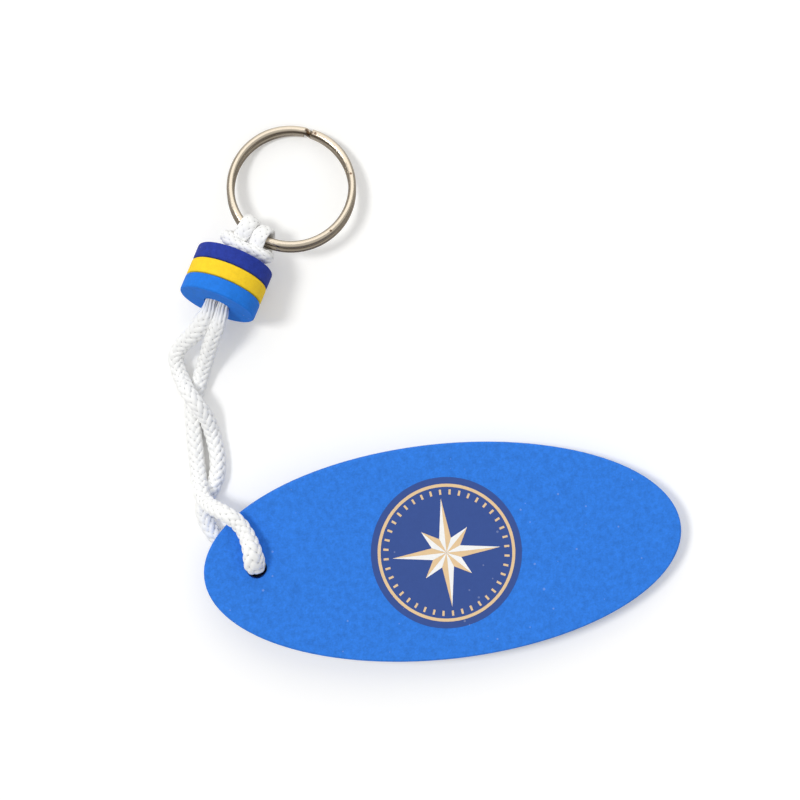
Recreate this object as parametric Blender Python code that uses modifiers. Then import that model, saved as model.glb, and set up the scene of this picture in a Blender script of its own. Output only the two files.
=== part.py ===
"""Floating keychain: an oval foam float, a braided cord looped through its hole, a three-layer foam bead on
the cord, and a split ring held by the cord's hitch. It lies on a table, +Z up, in metres.

Everything is laid out from the float's centre. At the end the whole keychain is shifted so that the middle of
its box, the cord apart, stands over the origin.
"""

import math

import bmesh
import bpy
from mathutils import Matrix, Vector

# The float, a die-cut oval of closed-cell foam. The cord below its left end lifts that end off the table.
FLOAT_LENGTH = 0.0934
FLOAT_WIDTH = 0.0418
FLOAT_THICKNESS = 0.0050
FLOAT_EDGE = 0.0004
FLOAT_HEADING = math.radians(6.13)
FLOAT_TILT = math.radians(2.5)
HOLE_DIAMETER = 0.0040
HOLE_FROM_TIP = 0.0103
HOLE_OFF_AXIS = 0.0008

# The bead, three foam discs bonded together and punched for the cord. It leans on its lower rim.
BEAD_DIAMETER = 0.0154
BEAD_LAYER = 0.0032
BEAD_SEAM = 0.0001
BEAD_HALF = 1.5 * BEAD_LAYER + BEAD_SEAM
BEAD_BORE = 0.0054
BEAD_EDGE = 0.00035
BEAD_CENTRE = (-0.0420, 0.0523)
BEAD_HEADING = math.radians(248.4)
BEAD_RISE = math.radians(15.0)

# The split ring, two turns of flattened spring wire. The hitch holds it and its far side lies on the table.
RING_DIAMETER = 0.0254
WIRE_WIDTH = 0.0016
WIRE_HEIGHT = 0.0013
WIRE_SQUARENESS = 0.7
RING_MIDDLE = (RING_DIAMETER - WIRE_WIDTH) / 2
TURN_GAP = 0.00006
TURN_SHIFT = 0.00015
STEP_START = math.radians(70.0)
STEP_END = math.radians(86.0)
WIRE_END_GAP = 0.0003

# The cord, one braided loop. Its ends are spliced inside the bead, and it is squeezed there.
CORD_DIAMETER = 0.0030
CORD_SQUEEZED = 0.00235
STRAND_GAP = 0.00014
CORD_POINT_SPACING = 0.0024

# The hitch: two flattened wraps round the ring's wire and the bar of cord that crosses on the bead's side.
HITCH_REACH = 0.0060
HITCH_HEADING = math.radians(53.4)
HITCH_DROP = 0.0010
WRAP_WIDTH = 0.0031
WRAP_THICKNESS = 0.00155
WRAP_EDGE = 0.0011
WRAP_SPACING = 0.0034
BAR_LENGTH = 0.0112
BAR_DEPTH = 0.0028
BAR_HEIGHT = 0.0032
BAR_EDGE = 0.0011
BAR_OUT = 0.0034
BAR_RISE = 0.0016
BAR_TURN = math.radians(7.0)

CLEARANCE = 0.0003
TABLE_GAP = 0.00003

# The loop's route between the bead and the hole, from the float's centre: first the strand that leaves the
# bead on the left and goes under the float, then up through the hole and back to the bead.
CORD_ROUTE = [
    (-0.0457, 0.0468, 0.0100),
    (-0.0470, 0.0449, 0.0090),
    (-0.0493, 0.0421, 0.0063),
    (-0.0513, 0.0401, 0.0040),
    (-0.0522, 0.0381, 0.0027),
    (-0.0519, 0.0358, 0.0022),
    (-0.0509, 0.0332, 0.0029),
    (-0.0496, 0.0309, 0.0046),
    (-0.0480, 0.0287, 0.0048),
    (-0.0463, 0.0261, 0.0033),
    (-0.0453, 0.0233, 0.0019),
    (-0.0446, 0.0205, 0.0016),
    (-0.0442, 0.0177, 0.0016),
    (-0.0443, 0.0150, 0.0016),
    (-0.0449, 0.0130, 0.0016),
    (-0.0458, 0.0113, 0.0016),
    (-0.0466, 0.0099, 0.0016),
    (-0.0470, 0.0083, 0.0016),
    (-0.0467, 0.0065, 0.0016),
    (-0.0458, 0.0046, 0.0016),
    (-0.0445, 0.0028, 0.0016),
    (-0.0425, 0.0010, 0.0016),
    (-0.0402, -0.0005, 0.0016),
    (-0.0382, -0.0017, 0.0016),
    (-0.0366, -0.0027, 0.0024),
    (-0.0361, -0.0030, 0.0044),
    (-0.0362, -0.0029, 0.0064),
    (-0.0363, -0.0027, 0.0086),
    (-0.0364, -0.0019, 0.0107),
    (-0.0368, 0.0003, 0.0116),
    (-0.0375, 0.0024, 0.0111),
    (-0.0384, 0.0042, 0.0108),
    (-0.0397, 0.0059, 0.0108),
    (-0.0415, 0.0072, 0.0108),
    (-0.0435, 0.0082, 0.0094),
    (-0.0452, 0.0090, 0.0072),
    (-0.0464, 0.0100, 0.0055),
    (-0.0472, 0.0115, 0.0044),
    (-0.0476, 0.0130, 0.0032),
    (-0.0479, 0.0146, 0.0023),
    (-0.0482, 0.0171, 0.0016),
    (-0.0485, 0.0199, 0.0016),
    (-0.0488, 0.0226, 0.0016),
    (-0.0490, 0.0254, 0.0016),
    (-0.0491, 0.0279, 0.0016),
    (-0.0486, 0.0305, 0.0016),
    (-0.0479, 0.0326, 0.0017),
    (-0.0472, 0.0350, 0.0022),
    (-0.0463, 0.0375, 0.0036),
    (-0.0454, 0.0400, 0.0056),
    (-0.0444, 0.0423, 0.0078),
    (-0.0435, 0.0444, 0.0094),
    (-0.0429, 0.0460, 0.0100),
]

COLLECTION = "floating_keychain"
CUTTERS = "cutters"
OVAL_SIDES = 120
ROUND_SIDES = 72
HOLE_SIDES = 48
BAR_SIDES = 24
STRAND_SIDES = 16
WIRE_SIDES = 16


def clear_scene():
    for obj in list(bpy.data.objects):
        bpy.data.objects.remove(obj, do_unlink=True)


def collection(name):
    made = bpy.data.collections.new(name)
    bpy.context.scene.collection.children.link(made)
    return made


def material(name, colour, roughness, metallic=0.0):
    made = bpy.data.materials.new(name)
    made.use_nodes = True
    shader = made.node_tree.nodes["Principled BSDF"]
    shader.inputs["Base Color"].default_value = (*colour, 1.0)
    shader.inputs["Roughness"].default_value = roughness
    shader.inputs["Metallic"].default_value = metallic
    made.diffuse_color = (*colour, 1.0)
    return made


def frame(name, parent=None, matrix=Matrix.Identity(4)):
    """An empty that carries a group of pieces, placed in its parent's frame."""
    empty = bpy.data.objects.new(name, None)
    empty.empty_display_size = 0.005
    bpy.data.collections[COLLECTION].objects.link(empty)
    empty.parent = parent
    empty.matrix_local = matrix
    return empty


def piece(name, mesh, parent, finish=None, matrix=Matrix.Identity(4), home=COLLECTION):
    obj = bpy.data.objects.new(name, mesh)
    bpy.data.collections[home].objects.link(obj)
    obj.parent = parent
    obj.matrix_local = matrix
    if finish:
        mesh.materials.append(finish)
    if home == CUTTERS:
        obj.hide_render = True
        obj.display_type = "WIRE"
    return obj


def mesh_from(name, build):
    mesh = bpy.data.meshes.new(name)
    bm = bmesh.new()
    build(bm)
    bm.to_mesh(mesh)
    bm.free()
    return mesh


def cylinder(name, diameter, length, sides, scale=(1.0, 1.0, 1.0)):
    def build(bm):
        bmesh.ops.create_cone(
            bm, cap_ends=True, segments=sides, radius1=diameter / 2, radius2=diameter / 2, depth=length
        )
        bmesh.ops.scale(bm, vec=scale, verts=bm.verts)

    return mesh_from(name, build)


def block(name, size):
    def build(bm):
        bmesh.ops.create_cube(bm, size=1.0)
        bmesh.ops.scale(bm, vec=size, verts=bm.verts)

    return mesh_from(name, build)


def bevel(obj, width, segments):
    modifier = obj.modifiers.new("edge", "BEVEL")
    modifier.width = width
    modifier.segments = segments
    modifier.limit_method = "ANGLE"
    modifier.angle_limit = math.radians(40.0)


def boolean(obj, other, operation):
    modifier = obj.modifiers.new(operation.lower(), "BOOLEAN")
    modifier.operation = operation
    modifier.solver = "EXACT"
    modifier.object = other


def smooth(mesh, angle=40.0):
    mesh.shade_smooth()
    mesh.set_sharp_from_angle(angle=math.radians(angle))


def as_mesh(curve, name, finish, parent):
    """Turns a curve object into a welded mesh object in the same place, so that it can be cut and joined."""
    bpy.context.view_layer.update()
    evaluated = curve.evaluated_get(bpy.context.evaluated_depsgraph_get())
    mesh = bpy.data.meshes.new_from_object(evaluated)
    bm = bmesh.new()
    bm.from_mesh(mesh)
    bmesh.ops.remove_doubles(bm, verts=bm.verts, dist=0.000001)
    bmesh.ops.recalc_face_normals(bm, faces=bm.faces)
    bm.to_mesh(mesh)
    bm.free()
    world = curve.matrix_world.copy()
    bpy.data.objects.remove(curve, do_unlink=True)
    obj = piece(name, mesh, parent, finish)
    obj.matrix_world = world
    return obj


def poly_curve(name, points, parent, closed=False, flat=False):
    data = bpy.data.curves.new(name, "CURVE")
    data.dimensions = "2D" if flat else "3D"
    data.resolution_u = 1
    spline = data.splines.new("POLY")
    spline.points.add(len(points) - 1)
    for target, place in zip(spline.points, points):
        target.co = (*place, 1.0)
    spline.use_cyclic_u = closed
    obj = bpy.data.objects.new(name, data)
    bpy.data.collections[COLLECTION].objects.link(obj)
    obj.parent = parent
    return obj


def lowest_point(objects):
    graph = bpy.context.evaluated_depsgraph_get()
    low = math.inf
    for obj in objects:
        evaluated = obj.evaluated_get(graph)
        mesh = evaluated.to_mesh()
        low = min(low, min((evaluated.matrix_world @ v.co).z for v in mesh.vertices))
        evaluated.to_mesh_clear()
    return low


def box_of(objects):
    graph = bpy.context.evaluated_depsgraph_get()
    points = []
    for obj in objects:
        evaluated = obj.evaluated_get(graph)
        mesh = evaluated.to_mesh()
        points += [evaluated.matrix_world @ v.co for v in mesh.vertices]
        evaluated.to_mesh_clear()
    low = Vector([min(p[k] for p in points) for k in range(3)])
    high = Vector([max(p[k] for p in points) for k in range(3)])
    return low, high


def set_on_table(carrier, objects):
    bpy.context.view_layer.update()
    carrier.location.z += TABLE_GAP - lowest_point(objects)
    bpy.context.view_layer.update()


def make_float(root, finish):
    """The oval slab with its punched hole. Its frame's Z is the slab's own normal."""
    turn = Matrix.Rotation(FLOAT_HEADING, 4, "Z") @ Matrix.Rotation(FLOAT_TILT, 4, "Y")
    carrier = frame("float_frame", root, turn)
    oval = (1.0, FLOAT_WIDTH / FLOAT_LENGTH, 1.0)
    mesh = cylinder("float", FLOAT_LENGTH, FLOAT_THICKNESS, OVAL_SIDES, oval)
    slab = piece("float", mesh, carrier, finish)
    bevel(slab, FLOAT_EDGE, 3)
    hole_place = Vector((HOLE_FROM_TIP - FLOAT_LENGTH / 2, HOLE_OFF_AXIS, 0.0))
    punch_mesh = cylinder("hole_punch", HOLE_DIAMETER, FLOAT_THICKNESS * 2, HOLE_SIDES)
    punch = piece("hole_punch", punch_mesh, carrier, None, Matrix.Translation(hole_place), CUTTERS)
    boolean(slab, punch, "DIFFERENCE")
    smooth(mesh)
    set_on_table(carrier, [slab])
    return carrier, hole_place


def bead_profile():
    """The half section of one disc, down its outer side and back up its bore, with eased outer corners."""
    outer = BEAD_DIAMETER / 2
    inner = BEAD_BORE / 2
    half = BEAD_LAYER / 2
    points = [(inner, half), (outer - BEAD_EDGE, half)]
    for angle_deg, middle in ((60, 1), (30, 1), (0, 1), (0, -1), (-30, -1), (-60, -1)):
        angle = math.radians(angle_deg)
        x = outer - BEAD_EDGE + BEAD_EDGE * math.cos(angle)
        z = middle * (half - BEAD_EDGE) + BEAD_EDGE * math.sin(angle)
        points.append((x, z))
    points += [(outer - BEAD_EDGE, -half), (inner, -half)]
    return points


def make_bead_layer(name, station, carrier, finish):
    def build(bm):
        corners = [bm.verts.new((x, 0.0, z)) for x, z in bead_profile()]
        for first, second in zip(corners, corners[1:] + corners[:1]):
            bm.edges.new((first, second))

    mesh = mesh_from(name, build)
    disc = piece(name, mesh, carrier, finish, Matrix.Translation((0.0, 0.0, station)))
    turn = disc.modifiers.new("turn", "SCREW")
    turn.axis = "Z"
    turn.steps = ROUND_SIDES
    turn.render_steps = ROUND_SIDES
    turn.use_merge_vertices = True
    turn.merge_threshold = 0.00001
    turn.use_smooth_shade = True
    return disc


def make_bead(root, finishes):
    """The three discs, from the ring's side to the float's. The frame's Z is the bore, towards the float."""
    axis = Vector(
        (
            math.cos(BEAD_HEADING) * math.cos(BEAD_RISE),
            math.sin(BEAD_HEADING) * math.cos(BEAD_RISE),
            math.sin(BEAD_RISE),
        )
    )
    side = Vector((0.0, 0.0, 1.0)).cross(axis).normalized()
    up = axis.cross(side)
    turn = Matrix((side, up, axis)).transposed().to_4x4()
    carrier = frame("bead_frame", root, Matrix.Translation((*BEAD_CENTRE, 0.0)) @ turn)
    pitch = BEAD_LAYER + BEAD_SEAM
    discs = [
        make_bead_layer("bead_navy_layer", -pitch, carrier, finishes["navy"]),
        make_bead_layer("bead_yellow_layer", 0.0, carrier, finishes["yellow"]),
        make_bead_layer("bead_blue_layer", pitch, carrier, finishes["blue"]),
    ]
    set_on_table(carrier, discs)
    return carrier, axis, side, discs


def wire_section(name, parent):
    """The flattened wire's section, a rounded rectangle as wide as the wire and as high as one turn."""
    points = []
    for step in range(WIRE_SIDES):
        angle = math.tau * step / WIRE_SIDES
        cosine = math.cos(angle)
        sine = math.sin(angle)
        x = math.copysign(abs(cosine) ** WIRE_SQUARENESS, cosine) * WIRE_WIDTH / 2
        y = math.copysign(abs(sine) ** WIRE_SQUARENESS, sine) * WIRE_HEIGHT / 2
        points.append((x, y, 0.0))
    section = poly_curve(name, points, parent, closed=True, flat=True)
    section.hide_render = True
    return section


def wire_layer(angle):
    """The wire's layer: -1 in the lower turn, 1 in the upper one, and between them in the step."""
    start = math.tau + STEP_START
    share = min(max((angle - start) / (STEP_END - STEP_START), 0.0), 1.0)
    return 2.0 * share * share * (3.0 - 2.0 * share) - 1.0


def make_split_ring(root, wire_place, finish):
    """Two turns of wire about the frame's Z. The frame is at the ring's centre."""
    rise = (TURN_GAP + WIRE_HEIGHT) / 2
    rest_height = rise + WIRE_HEIGHT / 2 + TABLE_GAP
    reach = RING_MIDDLE * (1.0 + math.sin(HITCH_HEADING))
    tilt = math.asin((wire_place.z - rest_height) / reach)
    turn = Matrix.Rotation(-tilt, 4, "X")
    towards = Vector((math.cos(HITCH_HEADING), math.sin(HITCH_HEADING), 0.0))
    centre = wire_place + turn @ (towards * RING_MIDDLE)
    carrier = frame("ring_frame", root, Matrix.Translation(centre) @ turn)
    first = STEP_END + WIRE_END_GAP / RING_MIDDLE
    last = 2 * math.tau + STEP_START - WIRE_END_GAP / RING_MIDDLE
    steps = 2 * ROUND_SIDES
    points = []
    for step in range(steps + 1):
        angle = first + (last - first) * step / steps
        layer = wire_layer(angle)
        x = RING_MIDDLE * math.cos(angle)
        y = RING_MIDDLE * math.sin(angle) + TURN_SHIFT * layer
        points.append((x, y, rise * layer))
    wire = poly_curve("split_ring_wire", points, carrier)
    section = wire_section("wire_section", carrier)
    wire.data.twist_mode = "Z_UP"
    wire.data.bevel_mode = "OBJECT"
    wire.data.bevel_object = section
    wire.data.use_fill_caps = True
    ring = as_mesh(wire, "split_ring", finish, carrier)
    bpy.data.objects.remove(section, do_unlink=True)
    smooth(ring.data)
    return carrier, ring


def ring_envelope(carrier):
    """The space that the wire sweeps as the ring turns, with its clearance. It cuts the hitch."""
    half_width = WIRE_WIDTH / 2 + TURN_SHIFT + CLEARANCE
    half_height = WIRE_HEIGHT + TURN_GAP / 2 + CLEARANCE

    def build(bm):
        places = [(half_width, half_height), (half_width, -half_height), (-half_width, -half_height)]
        places.append((-half_width, half_height))
        corners = [bm.verts.new((RING_MIDDLE + x, 0.0, z)) for x, z in places]
        for first, second in zip(corners, corners[1:] + corners[:1]):
            bm.edges.new((first, second))

    envelope = piece("ring_envelope", mesh_from("ring_envelope", build), carrier, None, home=CUTTERS)
    turn = envelope.modifiers.new("turn", "SCREW")
    turn.axis = "Z"
    turn.steps = ROUND_SIDES
    turn.render_steps = ROUND_SIDES
    turn.use_merge_vertices = True
    turn.merge_threshold = 0.00001
    return envelope


def make_hitch(ring_carrier, bead_carrier, finish):
    """The wraps and the bar, set out from the wire, joined to the two strands in the bead."""
    tunnel_width = WIRE_WIDTH + 2 * (TURN_SHIFT + CLEARANCE)
    tunnel_height = 2 * (WIRE_HEIGHT + CLEARANCE) + TURN_GAP
    wrap_size = (tunnel_width + 2 * WRAP_THICKNESS, WRAP_WIDTH, tunnel_height + 2 * WRAP_THICKNESS)
    outward = HITCH_HEADING + math.pi
    bar_place = Matrix.Rotation(outward, 4, "Z") @ Matrix.Translation((RING_MIDDLE + BAR_OUT, 0.0, BAR_RISE))
    bar_place = bar_place @ Matrix.Rotation(BAR_TURN, 4, "Z") @ Matrix.Rotation(math.pi / 2, 4, "X")
    bar_mesh = cylinder("cord_hitch", BAR_DEPTH, BAR_LENGTH, BAR_SIDES, (1.0, BAR_HEIGHT / BAR_DEPTH, 1.0))
    hitch = piece("cord_hitch", bar_mesh, ring_carrier, finish, bar_place)
    bevel(hitch, BAR_EDGE, 3)
    half_turn = WRAP_SPACING / 2 / RING_MIDDLE
    for label, angle in (("left", outward - half_turn), ("right", outward + half_turn)):
        place = Matrix.Rotation(angle, 4, "Z") @ Matrix.Translation((RING_MIDDLE, 0.0, 0.0))
        name = "hitch_wrap_" + label
        wrap = piece(name, block(name, wrap_size), ring_carrier, None, place, CUTTERS)
        bevel(wrap, WRAP_EDGE, 3)
        boolean(hitch, wrap, "UNION")
    strand_length = BEAD_HALF + HITCH_REACH - BAR_DEPTH / 2 - CLEARANCE
    offset = (CORD_SQUEEZED + STRAND_GAP) / 2
    for label, sign in (("left", -1.0), ("right", 1.0)):
        place = Matrix.Translation((sign * offset, 0.0, -CLEARANCE - strand_length / 2))
        name = "hitch_strand_" + label
        strand_mesh = cylinder(name, CORD_SQUEEZED, strand_length, STRAND_SIDES)
        strand = piece(name, strand_mesh, bead_carrier, None, place, CUTTERS)
        boolean(hitch, strand, "UNION")
    boolean(hitch, ring_envelope(ring_carrier), "DIFFERENCE")
    smooth(bar_mesh)
    return hitch


def smooth_curve(points, spacing):
    """Evenly spaced points on a centripetal Catmull-Rom curve through the route's points."""
    ends = [points[0] * 2 - points[1]] + points + [points[-1] * 2 - points[-2]]
    fine = []
    for before, start, stop, after in zip(ends, ends[1:], ends[2:], ends[3:]):
        knots = [0.0]
        for first, second in ((before, start), (start, stop), (stop, after)):
            knots.append(knots[-1] + (second - first).length ** 0.5)
        for step in range(16):
            at = knots[1] + (knots[2] - knots[1]) * step / 16
            fine.append(catmull_rom((before, start, stop, after), knots, at))
    fine.append(points[-1])
    lengths = [0.0]
    for first, second in zip(fine, fine[1:]):
        lengths.append(lengths[-1] + (second - first).length)
    count = max(2, round(lengths[-1] / spacing))
    even = []
    index = 0
    for step in range(count + 1):
        goal = lengths[-1] * step / count
        while index < len(fine) - 2 and lengths[index + 1] < goal:
            index += 1
        share = (goal - lengths[index]) / (lengths[index + 1] - lengths[index])
        even.append(fine[index].lerp(fine[index + 1], share))
    return even


def catmull_rom(points, knots, at):
    row = list(points)
    for level in range(1, 4):
        for index in range(4 - level):
            span_start = knots[index if level < 3 else 1]
            span_end = knots[index + level if level < 3 else 2]
            share = (at - span_start) / (span_end - span_start)
            row[index] = row[index].lerp(row[index + 1], share)
    return row[0]


def make_cord(root, bead_carrier, axis, side, finish):
    """The loop from the splice in the bead, along the route, and back to it. It narrows inside the bore."""
    bpy.context.view_layer.update()
    centre = root.matrix_world.inverted() @ bead_carrier.matrix_world.translation
    offset = side * (CORD_SQUEEZED + STRAND_GAP) / 2
    stations = (0.0, BEAD_HALF / 2, BEAD_HALF)
    left = [centre - offset + axis * station for station in stations]
    right = [centre + offset + axis * station for station in reversed(stations)]
    points = smooth_curve(left + [Vector(place) for place in CORD_ROUTE] + right, CORD_POINT_SPACING)
    cord = poly_curve("cord", points, root)
    cord.data.bevel_depth = CORD_DIAMETER / 2
    cord.data.bevel_resolution = 2
    cord.data.use_fill_caps = True
    cord.data.materials.append(finish)
    squeezed = CORD_SQUEEZED / CORD_DIAMETER
    for target, place in zip(cord.data.splines[0].points, points):
        past_face = (place - centre).dot(axis) - BEAD_HALF
        near_bore = (place - centre).length < BEAD_HALF + CORD_DIAMETER
        target.radius = squeezed if near_bore and past_face < CORD_DIAMETER / 2 else 1.0
    return cord


def centre_on_origin(root, objects):
    bpy.context.view_layer.update()
    low, high = box_of(objects)
    root.location.x -= (low.x + high.x) / 2
    root.location.y -= (low.y + high.y) / 2
    root.location.z -= low.z
    bpy.context.view_layer.update()


clear_scene()
collection(COLLECTION)
collection(CUTTERS)
foam_blue = material("foam_blue", (0.038, 0.205, 0.753), 0.85)
foam_navy = material("foam_navy", (0.024, 0.038, 0.305), 0.85)
foam_yellow = material("foam_yellow", (1.0, 0.690, 0.023), 0.85)
foam_light_blue = material("foam_light_blue", (0.026, 0.200, 0.701), 0.85)
cord_white = material("cord_white", (0.888, 0.888, 0.871), 0.7)
nickel = material("nickel", (0.638, 0.584, 0.508), 0.25, 1.0)

keychain = frame("keychain")
float_carrier, hole = make_float(keychain, foam_blue)
bead_carrier, bead_axis, bead_side, bead_discs = make_bead(
    keychain, {"navy": foam_navy, "yellow": foam_yellow, "blue": foam_light_blue}
)
bead_ring_face = bead_carrier.location - bead_axis * BEAD_HALF
wire_heading = Vector((math.cos(HITCH_HEADING), math.sin(HITCH_HEADING), 0.0))
wire_place = bead_ring_face + wire_heading * HITCH_REACH - Vector((0.0, 0.0, HITCH_DROP))
ring_carrier, split_ring = make_split_ring(keychain, wire_place, nickel)
make_hitch(ring_carrier, bead_carrier, cord_white)
make_cord(keychain, bead_carrier, bead_axis, bead_side, cord_white)
centre_on_origin(keychain, [bpy.data.objects["float"], *bead_discs, split_ring])
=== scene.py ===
import math

import bpy
import numpy as np
from mathutils import Matrix, Vector


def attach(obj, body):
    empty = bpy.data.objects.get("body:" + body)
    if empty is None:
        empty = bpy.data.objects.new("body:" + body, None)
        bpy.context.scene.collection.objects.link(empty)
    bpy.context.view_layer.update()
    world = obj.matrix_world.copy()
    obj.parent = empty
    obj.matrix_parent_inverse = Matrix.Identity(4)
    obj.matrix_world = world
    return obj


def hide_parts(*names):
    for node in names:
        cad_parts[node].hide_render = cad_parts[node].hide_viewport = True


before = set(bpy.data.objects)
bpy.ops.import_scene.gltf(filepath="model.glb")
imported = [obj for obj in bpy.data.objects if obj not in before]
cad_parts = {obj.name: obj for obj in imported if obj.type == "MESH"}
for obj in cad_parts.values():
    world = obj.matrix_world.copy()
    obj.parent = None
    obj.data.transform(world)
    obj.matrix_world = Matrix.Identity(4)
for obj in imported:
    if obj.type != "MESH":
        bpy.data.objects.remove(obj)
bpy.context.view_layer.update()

# The camera looks straight down from half a metre, as the photograph was taken, with its picture's top edge
# towards +Y. One millimetre on the table is a little over five pixels of the 800 that the picture is wide.
bpy.ops.object.select_all(action="DESELECT")
bpy.ops.object.camera_add(location=(-0.006220, -0.001553, 0.500), rotation=(0.0, 0.0, 0.0))
camera = bpy.context.object
camera.name = "camera"
camera.data.sensor_width = 36.0
camera.data.lens = 114.2
bpy.context.scene.camera = camera
bpy.context.scene.view_settings.view_transform = "Standard"

# The foam of the float and of the bead is closed-cell sheet: a skin with fine cells that show as a mottle,
# and a few paler specks. All its colours and the inks share this one effect.
foam_skin = bpy.data.node_groups.new("foam_skin", "ShaderNodeTree")
foam_skin.interface.new_socket("Colour", in_out="INPUT", socket_type="NodeSocketColor")
foam_skin.interface.new_socket("Mottle", in_out="INPUT", socket_type="NodeSocketFloat")
foam_skin.interface.new_socket("Cell Height", in_out="INPUT", socket_type="NodeSocketFloat")
foam_skin.interface.new_socket("Base Color", in_out="OUTPUT", socket_type="NodeSocketColor")
foam_skin.interface.new_socket("Normal", in_out="OUTPUT", socket_type="NodeSocketVector")
nodes, links = foam_skin.nodes, foam_skin.links
asked = nodes.new("NodeGroupInput")
given = nodes.new("NodeGroupOutput")
place = nodes.new("ShaderNodeTexCoord")
patches = nodes.new("ShaderNodeTexNoise")
patches.inputs["Scale"].default_value = 900.0
patches.inputs["Detail"].default_value = 2.0
cells = nodes.new("ShaderNodeTexNoise")
cells.inputs["Scale"].default_value = 2600.0
cells.inputs["Detail"].default_value = 3.0
cells.inputs["Roughness"].default_value = 0.6
specks = nodes.new("ShaderNodeTexVoronoi")
specks.inputs["Scale"].default_value = 1100.0
for texture in (patches, cells, specks):
    links.new(place.outputs["Object"], texture.inputs["Vector"])
both = nodes.new("ShaderNodeMath")
both.operation = "ADD"
links.new(patches.outputs["Fac"], both.inputs[0])
links.new(cells.outputs["Fac"], both.inputs[1])
spread = nodes.new("ShaderNodeMapRange")
spread.inputs["From Min"].default_value = 0.65
spread.inputs["From Max"].default_value = 1.35
spread.inputs["To Min"].default_value = -1.0
links.new(both.outputs["Value"], spread.inputs["Value"])
amount = nodes.new("ShaderNodeMath")
amount.operation = "MULTIPLY_ADD"
amount.inputs[2].default_value = 1.0
links.new(spread.outputs["Result"], amount.inputs[0])
links.new(asked.outputs["Mottle"], amount.inputs[1])
shaded = nodes.new("ShaderNodeVectorMath")
shaded.operation = "SCALE"
links.new(asked.outputs["Colour"], shaded.inputs[0])
links.new(amount.outputs["Value"], shaded.inputs["Scale"])
speck_size = nodes.new("ShaderNodeSeparateColor")
links.new(specks.outputs["Color"], speck_size.inputs["Color"])
speck_reach = nodes.new("ShaderNodeMapRange")
speck_reach.inputs["From Min"].default_value = 0.95
speck_reach.inputs["To Max"].default_value = 0.30
links.new(speck_size.outputs["Red"], speck_reach.inputs["Value"])
speck_here = nodes.new("ShaderNodeMath")
speck_here.operation = "LESS_THAN"
links.new(specks.outputs["Distance"], speck_here.inputs[0])
links.new(speck_reach.outputs["Result"], speck_here.inputs[1])
speck_share = nodes.new("ShaderNodeMath")
speck_share.operation = "MULTIPLY"
speck_share.inputs[1].default_value = 0.14
links.new(speck_here.outputs["Value"], speck_share.inputs[0])
speckled = nodes.new("ShaderNodeMix")
speckled.data_type = "RGBA"
speckled.inputs["B"].default_value = (0.75, 0.82, 0.95, 1.0)
links.new(speck_share.outputs["Value"], speckled.inputs["Factor"])
links.new(shaded.outputs["Vector"], speckled.inputs["A"])
links.new(speckled.outputs["Result"], given.inputs["Base Color"])
cell_bump = nodes.new("ShaderNodeBump")
cell_bump.inputs["Strength"].default_value = 0.6
links.new(asked.outputs["Cell Height"], cell_bump.inputs["Distance"])
links.new(cells.outputs["Fac"], cell_bump.inputs["Height"])
links.new(cell_bump.outputs["Normal"], given.inputs["Normal"])

FOAMS = {
    "foam_blue": ((0.028, 0.200, 0.750, 1.0), 0.17, ["float"]),
    "foam_navy": ((0.019, 0.042, 0.325, 1.0), 0.20, ["bead_navy_layer"]),
    "foam_yellow": ((1.0, 0.670, 0.023, 1.0), 0.08, ["bead_yellow_layer"]),
    "foam_light_blue": ((0.014, 0.195, 0.760, 1.0), 0.10, ["bead_blue_layer"]),
}
for name, (colour, mottle, made_of_it) in FOAMS.items():
    foam = bpy.data.materials.new(name + "_skin")
    foam.use_nodes = True
    nodes, links = foam.node_tree.nodes, foam.node_tree.links
    shader = nodes["Principled BSDF"]
    shader.inputs["Roughness"].default_value = 0.75
    shader.inputs["Specular IOR Level"].default_value = 0.22
    skin = nodes.new("ShaderNodeGroup")
    skin.node_tree = foam_skin
    skin.inputs["Colour"].default_value = colour
    skin.inputs["Mottle"].default_value = mottle
    skin.inputs["Cell Height"].default_value = 0.00003
    links.new(skin.outputs["Base Color"], shader.inputs["Base Color"])
    links.new(skin.outputs["Normal"], shader.inputs["Normal"])
    for node in made_of_it:
        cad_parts[node].data.materials.clear()
        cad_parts[node].data.materials.append(foam)

# The print in the middle of the float is three inks, screened one on the other: a navy disc, then a tan ring
# with its ticks and an eight-point compass rose that is half white and half tan. Each ink is a film.
PRINT_RADIUS = 0.0147
INK_FILM = 0.00003
FLOAT_MIDDLE = Vector((0.0021496, -0.0310556, 0.0045172))
FLOAT_LENGTHWAYS = Vector((0.993336, 0.106683, -0.043619))
FLOAT_UP = Vector((0.04337, 0.004658, 0.999048))
FLOAT_TOP = 0.0025
PRINT_SHIFT = (0.00054, -0.00022)
across_float = FLOAT_UP.cross(FLOAT_LENGTHWAYS)
print_place = Matrix((FLOAT_LENGTHWAYS, across_float, FLOAT_UP)).transposed().to_4x4()
print_place.translation = FLOAT_MIDDLE + FLOAT_UP * FLOAT_TOP
print_place.translation += FLOAT_LENGTHWAYS * PRINT_SHIFT[0] + across_float * PRINT_SHIFT[1]
inks = {}
for name, colour, roughness in (
    ("ink_navy", (0.030, 0.076, 0.296, 1.0), 0.62),
    ("ink_tan", (0.807, 0.578, 0.328, 1.0), 0.6),
    ("ink_white", (0.93, 0.93, 0.92, 1.0), 0.6),
):
    ink = bpy.data.materials.new(name)
    ink.use_nodes = True
    nodes, links = ink.node_tree.nodes, ink.node_tree.links
    shader = nodes["Principled BSDF"]
    shader.inputs["Roughness"].default_value = roughness
    shader.inputs["Specular IOR Level"].default_value = 0.35
    skin = nodes.new("ShaderNodeGroup")
    skin.node_tree = foam_skin
    skin.inputs["Colour"].default_value = colour
    skin.inputs["Mottle"].default_value = 0.04
    skin.inputs["Cell Height"].default_value = 0.000015
    links.new(skin.outputs["Base Color"], shader.inputs["Base Color"])
    links.new(skin.outputs["Normal"], shader.inputs["Normal"])
    inks[name] = ink


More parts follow.
